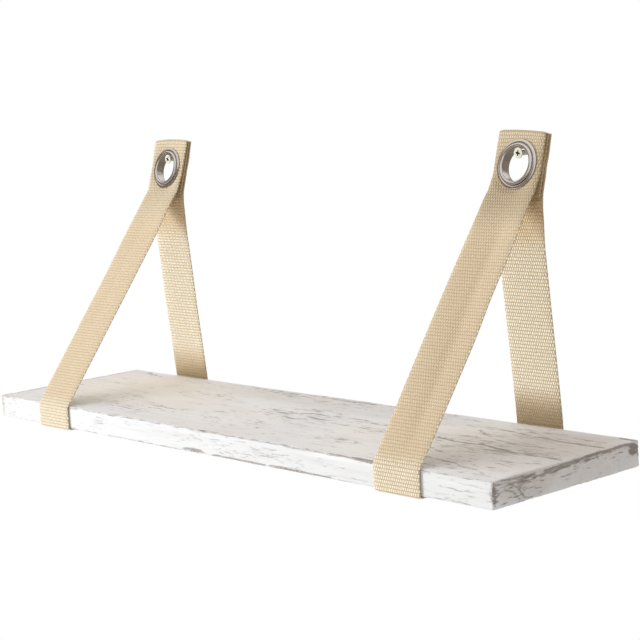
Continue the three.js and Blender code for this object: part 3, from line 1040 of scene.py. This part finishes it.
# Paint of the board by its faces, whose different tones are painted light, then the tones that it
# takes on in places, and the wood under it
TOP_PAINT = srgb(243, 245, 248)
FRONT_PAINT = srgb(224, 225, 226)
END_PAINT = srgb(236, 240, 246)
CREAMY_PAINT = srgb(255, 254, 250)
STAINED_PAINT = srgb(202, 194, 186)
PINK_PAINT = srgb(240, 226, 214)
BLOTCHED_PAINT = srgb(206, 200, 196)
BRUSHED_PAINT = srgb(250, 249, 247)
FURROW_PAINT = srgb(184, 176, 170)
DARK_WOOD = srgb(104, 94, 88)
PALE_WOOD = srgb(150, 137, 128)

# Metals, and the painted shade in the screws' recesses, which comes in between two depths under the
# crown
NICKEL = srgb(212, 205, 198)
ZINC = srgb(240, 238, 226)
RECESS_SHADE = srgb(40, 37, 33)
RECESS_SHADE_FROM = 0.12 * MM
RECESS_SHADE_TO = 0.22 * MM

# How deep the bumps are, and how round and how uneven the floats of the weave
WEAVE_BUMP = 0.5 * MM
BOARD_BUMP = 0.4 * MM
METAL_BUMP = 0.05 * MM
FLOAT_ROUNDNESS = 1.4
FLOAT_WANDER = 0.315
BULGE_ROUNDNESS = 0.7


def webbing_material():
    """Cotton webbing. Its floats stand out more inside the loop and round the board, where its yarn is
    also paler: painted light.
    """
    s = new_material("cotton_webbing", {"Roughness": 0.9, "Sheen Weight": 0.15})
    flat = s.parts(s.node("ShaderNodeUVMap", {}, uv_map="weave")[0])
    patches = s.noise((14, 14, 9))
    hair = s.noise((2600, 2600, 900), detail=2.0)
    fleck = s.ramp(s.noise((620, 620, 620), detail=2.0), 0.35, 0.65)

    # Rows of floats, every other row set over by half a float, whose ends wander a little
    rows = s.math("DIVIDE", flat[1], ROW_PITCH)
    over = s.times(s.math("MODULO", s.math("FLOOR", rows), 2.0), 0.5)
    wander = s.times(s.plus(s.noise((160, 160, 160)), -0.5), FLOAT_WANDER)
    ends = s.plus(s.plus(s.math("DIVIDE", flat[0], FLOAT_PITCH), over), wander)
    across = s.math("POWER", s.wave(ends), FLOAT_ROUNDNESS)
    bulge = s.math("POWER", s.wave(rows), BULGE_ROUNDNESS)
    single = s.times(across, bulge)
    ribbed = s.times(across, s.times(bulge, 0.35, 0.65))

    def yarn(colours, floats):
        """Patchy yarn, with a painted highlight on top of its floats and painted shade in the grooves
        between its rows.
        """
        first, second, top, groove = colours
        patchy = s.mix(floats, s.mix(patches, first, second), top)
        return s.mix(s.ramp(bulge, 0.1, 0.6), groove, patchy)

    # Where the floats stand out the yarn is the paler inside yarn: raised weave with painted light
    raised_and_lit = s.attribute("raised_and_lit")
    outside = s.times(s.ramp(ribbed, 0.2, 0.95), 0.6, s.times(bulge, 0.4))
    inside = s.times(s.ramp(single, 0.35, 0.9), 0.75, s.times(bulge, 0.25))
    yarns = s.mix(raised_and_lit, yarn(OUTSIDE_YARN, outside), yarn(INSIDE_YARN, inside))
    yarns = s.tint(yarns, hair, 0.18, HAIR)
    yarns = s.tint(yarns, fleck, 0.24, FLECK)
    # Warm painted shade, then painted shade
    yarns = s.tint(yarns, s.attribute("warm_shade"), 0.4, WARM_SHADE_YARN)
    s.colour(s.tint(yarns, s.attribute("shade"), 0.8, SHADED_YARN))
    height = s.blend(raised_and_lit, s.times(ribbed, 0.35), single)
    s.bump(s.times(hair, 0.2, height), WEAVE_BUMP, 0.9)
    return s.owner


def board_material():
    """White paint that is worn thin along the grain, with grey brown wood under it."""
    s = new_material("whitewashed_wood", {"Roughness": 0.8})
    wear, furrow, line = (s.attribute(name) for name in ("wear", "furrow", "line"))
    front, end = s.attribute("front"), s.attribute("end")
    broad = s.noise((5, 16, 16), detail=2.0)
    blotch = s.noise((30, 90, 90), detail=4.0)
    streak = s.noise((46, 330, 1000), detail=5.0, roughness=0.62)
    crack = s.noise((100, 560, 1400), detail=4.0, roughness=0.6)
    across = s.noise((900, 110, 700), detail=5.0, roughness=0.65)
    grit = s.noise((900, 1400, 1400), detail=4.0)
    brushed = s.noise((12, 260, 260))
    streak = s.blend(end, streak, across)
    crack = s.blend(end, crack, across)

    # Each face has its own paint tone, which is painted light: darker on the strongly lit front
    paint = s.mix(front, TOP_PAINT, FRONT_PAINT)
    paint = s.mix(end, paint, END_PAINT)
    paint = s.mix(s.attribute("creamy"), paint, CREAMY_PAINT)
    paint = s.mix(s.attribute("stained"), paint, STAINED_PAINT)
    # The pink tint stays off the front face, which is painted light too
    not_front = s.times(front, -0.25, 0.25)
    paint = s.tint(paint, s.ramp(broad, 0.45, 0.7), not_front, PINK_PAINT)
    paint = s.tint(paint, s.ramp(blotch, 0.5, 0.75), 0.2, BLOTCHED_PAINT)
    paint = s.tint(paint, s.ramp(brushed, 0.5, 0.8), 0.3, BRUSHED_PAINT)
    paint = s.tint(paint, furrow, 0.15, FURROW_PAINT)

    # Thin streaks of bare wood, more of them where the board is streaked
    lift = s.plus(s.times(s.attribute("streaked"), 0.11), s.times(wear, 0.12))
    patchy = s.times(s.plus(blotch, -0.5), 0.22)
    streaks = s.ramp(s.plus(s.plus(streak, lift), patchy), 0.63, 0.7)
    cracks = s.ramp(s.plus(s.plus(crack, lift), patchy), 0.66, 0.73)

    # The drawn lines, broken up along their way, and the places that are rubbed bare
    broken = s.times(s.plus(crack, -0.5), 2.8, line)
    drawn = s.ramp(broken, 0.4, 0.85)
    rough = s.times(s.plus(s.blend(end, grit, across), -0.5), 1.5)
    rubbing_and_board_shadow = s.ramp(s.plus(s.times(wear, 0.85, rough), patchy), 0.55, 0.8)
    shown = s.math("MAXIMUM", s.times(streaks, 0.44), s.times(cracks, 0.65))
    shown = s.math("MAXIMUM", shown, s.times(drawn, 0.66))
    shown = s.math("MAXIMUM", shown, s.times(rubbing_and_board_shadow, 0.85))
    s.colour(s.mix(shown, paint, s.mix(grit, DARK_WOOD, PALE_WOOD)))
    s.roughness(s.times(grit, 0.2, 0.68))
    s.bump(s.plus(s.times(shown, -0.8), s.times(streak, 0.35)), BOARD_BUMP, 0.7)
    return s.owner


def metal(name, colour, metallic, smooth, rough):
    """Plated metal with a faint cloudiness, and its colour before it reaches the shader."""
    s = new_material(name, {"Roughness": smooth, "Metallic": metallic})
    cloud = s.noise((220, 220, 220), detail=4.0)
    scratch = s.noise((3000, 500, 500))
    dull = tuple(0.8 * c for c in colour[:3]) + (1.0,)
    plating = s.tint(colour, cloud, 0.35, dull)
    marks = s.times(cloud, 0.6, s.times(scratch, 0.4))
    s.roughness(s.ramp(marks, 0.3, 0.7, smooth, rough))
    s.bump(cloud, METAL_BUMP, 0.25)
    return s, plating


def nickel_material():
    s, plating = metal("nickel_plate", NICKEL, 1.0, 0.16, 0.3)
    s.colour(plating)
    return s.owner


def zinc_material():
    """Dull zinc plate with painted shade down in the cross recess of the screw's head."""
    s, plating = metal("zinc_plate", ZINC, 0.25, 0.35, 0.5)
    x, y, z = s.parts(s.place())
    # Painted shade in the cross recess
    from_axis = s.math("SUBTRACT", s.math("ABSOLUTE", x), SCREW_SPACING / 2)
    squares = s.times(z, z, s.times(from_axis, from_axis))
    within = s.math("LESS_THAN", s.math("SQRT", squares), RECESS_SPAN / 2 + RECESS_SHADE_SPREAD)
    ahead = s.math("LESS_THAN", y, RECESS_DEPTH + RECESS_SHADE_SPREAD - SCREW_PROUD)
    surface = -SCREW_PROUD - HEAD_CROWN
    sunk = s.ramp(y, surface + RECESS_SHADE_FROM, surface + RECESS_SHADE_TO)
    s.colour(s.mix(s.times(s.times(within, ahead), sunk), plating, RECESS_SHADE))
    return s.owner


# Stage

CAMERA_TARGET = (54.9 * MM, -77.3 * MM, -121.4 * MM)
CAMERA_AZIMUTH = math.radians(48.98)
CAMERA_ELEVATION = math.radians(7.68)
CAMERA_ROLL = math.radians(-3.56)
CAMERA_DISTANCE = 1310 * MM
CAMERA_LENS = 96.04
CAMERA_SENSOR = 36

FLOOR_HEIGHT = -1.7
FLOOR_SIZE = 14
PAPER = srgb(235, 235, 235)
AMBIENT = 0.62
AMBIENT_COLOUR = (1.0, 0.94, 0.875, 1.0)

# The key lamp stands low at the front left, and a broad weak one hangs above. Each has its place,
# size, power and colour.
LAMP_TARGET = (0, -0.08, -0.11)
LAMPS = {
    "key": ((-2.53, -2.075, -0.36), (1.0, 0.45), 98, (0.92, 0.965, 1.0)),
    "overhead": ((-0.9, -0.7, 1.5), (3, 3), 16, (1, 1, 1)),
}

# Grey brown cards that stand round the stage behind the lamps, for reflections in the metal alone
CARD_RADIUS = 3.6
CARD_FOOT = -1.3
CARD_TOP = 1.5
CARD_OPENING = math.radians(35)
CARD_SIDES = 60
FELT = srgb(156, 149, 142)


def make_camera():
    data = bpy.data.cameras.new("camera")
    data.sensor_width = CAMERA_SENSOR
    data.lens = CAMERA_LENS
    camera = add_object("camera", data)
    place = Matrix.Translation(CAMERA_TARGET)
    upright = math.pi / 2
    for turn, axis in ((CAMERA_AZIMUTH, "Z"), (upright - CAMERA_ELEVATION, "X"), (CAMERA_ROLL, "Z")):
        place = place @ Matrix.Rotation(turn, 4, axis)
    camera.matrix_world = place @ Matrix.Translation((0, 0, CAMERA_DISTANCE))
    bpy.context.scene.camera = camera


def area_light(name, place, size, power, colour):
    data = bpy.data.lights.new(name, "AREA")
    data.shape = "ELLIPSE"
    data.size, data.size_y = size
    data.energy = power
    data.color = colour
    light = add_object(name, data)
    light.location = place
    light.rotation_euler = (Vector(LAMP_TARGET) - Vector(place)).to_track_quat("-Z", "Y").to_euler()
    light.visible_camera = False
    light.visible_glossy = False


def make_stage():
    world = bpy.data.worlds.new("world")
    bpy.context.scene.world = world
    sky = Shader(world, "Background", {"Color": AMBIENT_COLOUR, "Strength": AMBIENT})
    sky.white_to_camera("World Output", "ShaderNodeBackground")

    half = FLOOR_SIZE / 2
    corners = [(-half, -half), (half, -half), (half, half), (-half, half)]
    floor = add_mesh("floor", [(x, y, FLOOR_HEIGHT) for x, y in corners], [(0, 1, 2, 3)])
    paper = new_material("floor_paper", {"Roughness": 0.9})
    paper.colour(PAPER)
    paper.white_to_camera("Material Output", "ShaderNodeEmission")
    floor.data.materials.append(paper.owner)

    for name, lamp in LAMPS.items():
        area_light(name, *lamp)


def make_cards():
    """A grey brown ring that is open behind the camera, and a disc of the same under it."""
    angles = CAMERA_AZIMUTH + np.linspace(CARD_OPENING, 2 * math.pi - CARD_OPENING, CARD_SIDES + 1)
    circle = CARD_RADIUS * np.stack([np.sin(angles), -np.cos(angles)], axis=1)
    points = [(x, y, z) for z in (CARD_FOOT, CARD_TOP) for x, y in circle]
    above = CARD_SIDES + 1
    faces = [(k, k + 1, k + 1 + above, k + above) for k in range(CARD_SIDES)]
    cards = add_mesh("cards", points, [*faces, range(above)])
    felt = new_material("grey_felt", {"Roughness": 1.0})
    felt.colour(FELT)
    cards.data.materials.append(felt.owner)
    cards.visible_camera = False
    cards.visible_diffuse = False
    cards.visible_transmission = False
    cards.visible_shadow = False


make_camera()
make_stage()
make_cards()

webbing = webbing_material()
nickel = nickel_material()
zinc = zinc_material()

for strap_side in STRAPS:
    make_eyelet(strap_side, nickel)
    make_washer(strap_side, nickel)
    make_screw(strap_side, zinc)
    make_strap(strap_side, webbing)
make_board(board_material())

bpy.context.scene.view_settings.view_transform = "Standard"

bpy.context.view_layer.update()
